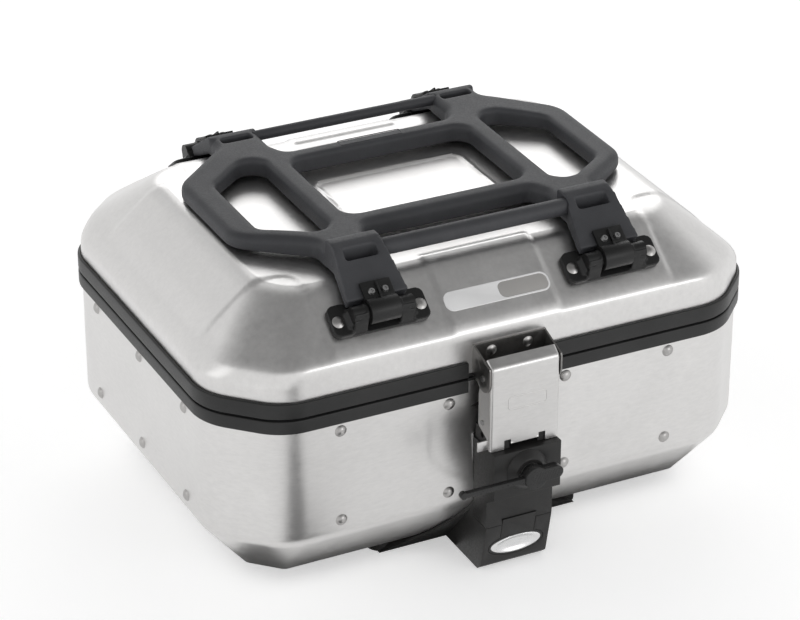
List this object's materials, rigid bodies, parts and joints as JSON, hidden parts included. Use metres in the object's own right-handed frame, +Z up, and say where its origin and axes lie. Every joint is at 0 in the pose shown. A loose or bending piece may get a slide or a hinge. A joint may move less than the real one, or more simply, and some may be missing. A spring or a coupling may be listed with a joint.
{
  "type": "top case",
  "caption": "Aluminium motorcycle top case with a hinged lid, a plastic luggage rack on top, a cover-lever latch with a key lock, and a plastic base with a release button.",
  "frame": {"origin": "on the resting plane under the middle of the tub, on the underside of the base", "axes": "+Z up, -Y towards the latch side, +X to the right seen from the latch side"},
  "size_m": [0.485, 0.4234, 0.2794],
  "materials": {
    "sheet": "satin_brushed",
    "trim": "satin",
    "base": "fine_grain",
    "lock_metal": "machined",
    "bright": "satin",
    "seal": "matte",
    "badge": "satin",
    "badge_dark": "satin",
    "bracket_steel": "satin",
    "steel": "brushed",
    "claw": "cast",
    "rack": "fine_grain",
    "rack_dark": "fine_grain",
    "rivet": "satin",
    "fastener": "machined"
  },
  "bodies": {
    "case": {"tub_shell": "sheet", "lower_trim": "trim", "floor_liner": "trim", "front_rivets": "rivet", "rear_rivets": "rivet", "side_rivets": "rivet", "base_plate": "base", "base_screws": "fastener", "base_washers": "fastener", "lock_housing": "base", "lock_collar": "base", "lock_backplate": "fastener", "lock_screws": "fastener", "keeper_pin": "fastener", "button_spring": "fastener", "hook_pin": "fastener", "hinge_lower_leaves": "fastener", "hinge_pins": "fastener", "hinge_lower_rivets": "rivet"},
    "lid": {"hinge_upper_leaves": "fastener", "hinge_upper_rivets": "rivet", "lid_shell": "sheet", "upper_trim": "trim", "lid_seal": "seal", "badge_plate": "badge", "badge_insert": "badge_dark", "latch_bracket": "bracket_steel", "bracket_rivets": "rivet", "lever_pin": "fastener", "rack_frame": "rack", "front_bar": "rack", "rear_bar": "rack", "rack_base_front_left": "rack_dark", "rack_base_front_right": "rack_dark", "rack_base_rear_left": "rack_dark", "rack_base_rear_right": "rack_dark", "rack_clamp_front_left": "rack_dark", "rack_clamp_front_right": "rack_dark", "rack_clamp_rear_left": "rack_dark", "rack_clamp_rear_right": "rack_dark", "rack_pivot_bars": "rack_dark", "clamp_screws": "fastener", "rack_rivets": "rivet"},
    "lever": {"latch_lever": "steel", "claw_pin": "fastener"},
    "claw": {"latch_claw": "claw"},
    "key": {"lock_barrel": "lock_metal", "lock_cam": "lock_metal", "key_blade": "lock_metal", "key_bow": "base"},
    "button": {"release_button": "base", "button_insert": "bright"},
    "hook": {"release_hook": "fastener"}
  },
  "joints": [
    {"name": "lid_hinge", "type": "hinge", "parent": "case", "child": "lid", "pos_m": [0, 0.1884, 0.1728], "axis": [-1, 0, 0], "range_deg": [0, 95]},
    {"name": "lever_pivot", "type": "hinge", "parent": "lid", "child": "lever", "pos_m": [0, -0.1967, 0.1794], "axis": [-1, 0, 0], "range_deg": [0, 50]},
    {"name": "claw_pivot", "type": "hinge", "parent": "lever", "child": "claw", "pos_m": [0, -0.1937, 0.1384], "axis": [1, 0, 0], "range_deg": [0, 10], "stiffness_Nm_per_rad": 0.1},
    {"name": "key_turn", "type": "hinge", "parent": "case", "child": "key", "pos_m": [-0.001, -0.214, 0.0995], "axis": [0, 1, 0], "range_deg": [0, 90]},
    {"name": "button_press", "type": "slide", "parent": "case", "child": "button", "axis": [0, 1, 0], "range_m": [0, 0.005], "stiffness_N_per_m": 400},
    {"name": "hook_swing", "type": "hinge", "parent": "case", "child": "hook", "pos_m": [0, -0.157, 0.008], "axis": [1, 0, 0], "range_deg": [0, 20.1]}
  ],
  "couplings": [
    {"joint": "hook_swing", "follows": "button_press", "rad_per_m": 69.8}
  ]
}
